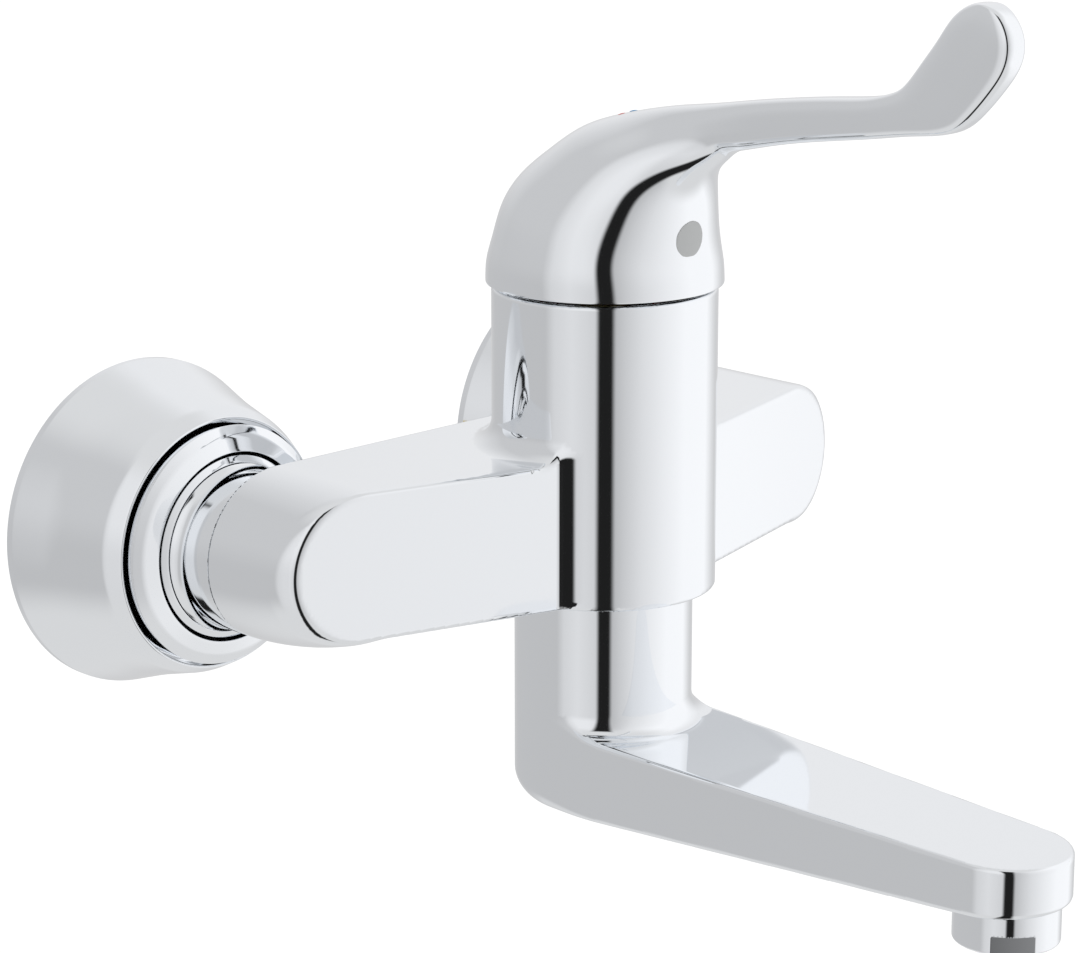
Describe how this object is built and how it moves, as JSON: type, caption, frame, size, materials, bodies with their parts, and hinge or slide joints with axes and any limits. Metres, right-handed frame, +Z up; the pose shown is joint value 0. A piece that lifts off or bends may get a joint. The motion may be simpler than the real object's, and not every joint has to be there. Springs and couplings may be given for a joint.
{
  "type": "tap",
  "caption": "Wall-mounted chrome single-lever mixer tap with a long elbow lever bent up at its end, swept arms, round rosettes and a low swivel spout",
  "frame": {"origin": "On the finished wall, midway between the two inlet centres", "axes": "X to the right as the user faces the tap, from the hot inlet to the cold inlet; Y into the wall; Z up"},
  "size_m": [0.234, 0.2445, 0.2107],
  "materials": {
    "chrome": "polished",
    "brass": "machined",
    "steel": "plain",
    "rubber": "matte",
    "white_plastic": "moulded",
    "dark_plastic": "moulded",
    "grey_plastic": "moulded",
    "red_plastic": "moulded",
    "blue_plastic": "moulded",
    "disc_ceramic": "lapped"
  },
  "bodies": {
    "tap": {"body": "chrome", "wall_union_hot": "brass", "wall_union_cold": "brass", "rosette_hot": "chrome", "rosette_cold": "chrome", "rosette_sleeve_hot": "chrome", "rosette_sleeve_cold": "chrome", "rosette_seals": "rubber", "union_nut_hot": "chrome", "union_nut_cold": "chrome", "inlet_gaskets": "rubber", "strainer_hot": "steel", "strainer_cold": "steel", "check_valve_hot": "white_plastic", "check_valve_cold": "white_plastic", "check_spring_hot": "steel", "check_spring_cold": "steel", "cartridge_housing": "white_plastic", "cartridge_base": "dark_plastic", "port_seals": "rubber", "fixed_disc": "disc_ceramic", "limit_ring": "red_plastic", "retaining_nut": "brass", "spout_orings": "rubber"},
    "turning_group": {"rotor": "white_plastic", "pivot_pin": "steel"},
    "lever_group": {"stem": "brass", "handle": "chrome", "set_screw": "steel", "screw_plug": "grey_plastic", "hot_mark": "red_plastic", "cold_mark": "blue_plastic"},
    "disc_group": {"moving_disc": "disc_ceramic", "disc_carrier": "dark_plastic"},
    "spout_group": {"spout": "chrome", "glide_ring": "white_plastic", "spout_lock_screw": "steel", "aerator_sleeve": "chrome", "aerator_insert": "white_plastic", "aerator_seal": "rubber"},
    "hot_check": {"check_poppet_hot": "dark_plastic"},
    "cold_check": {"check_poppet_cold": "dark_plastic"}
  },
  "joints": [
    {"name": "lever_turn", "type": "hinge", "parent": "tap", "child": "turning_group", "pos_m": [0, -0.088, 0.042], "axis": [0, 0, 1], "range_deg": [-45, 45]},
    {"name": "lever_lift", "type": "hinge", "parent": "turning_group", "child": "lever_group", "pos_m": [0, -0.088, 0.042], "axis": [-1, 0, 0], "range_deg": [0, 25]},
    {"name": "disc_slide", "type": "slide", "parent": "turning_group", "child": "disc_group", "axis": [0, -1, 0], "range_m": [0, 0.0058]},
    {"name": "spout_swivel", "type": "hinge", "parent": "tap", "child": "spout_group", "pos_m": [0, -0.088, -0.03], "axis": [0, 0, 1], "range_deg": [-70, 70]},
    {"name": "hot_check_lift", "type": "slide", "parent": "tap", "child": "hot_check", "axis": [0, -1, 0], "range_m": [0, 0.002], "stiffness_N_per_m": 100, "deforming": ["check_spring_hot"]},
    {"name": "cold_check_lift", "type": "slide", "parent": "tap", "child": "cold_check", "axis": [0, -1, 0], "range_m": [0, 0.002], "stiffness_N_per_m": 100, "deforming": ["check_spring_cold"]}
  ],
  "couplings": [
    {"joint": "disc_slide", "follows": "lever_lift", "m_per_rad": 0.01326}
  ]
}
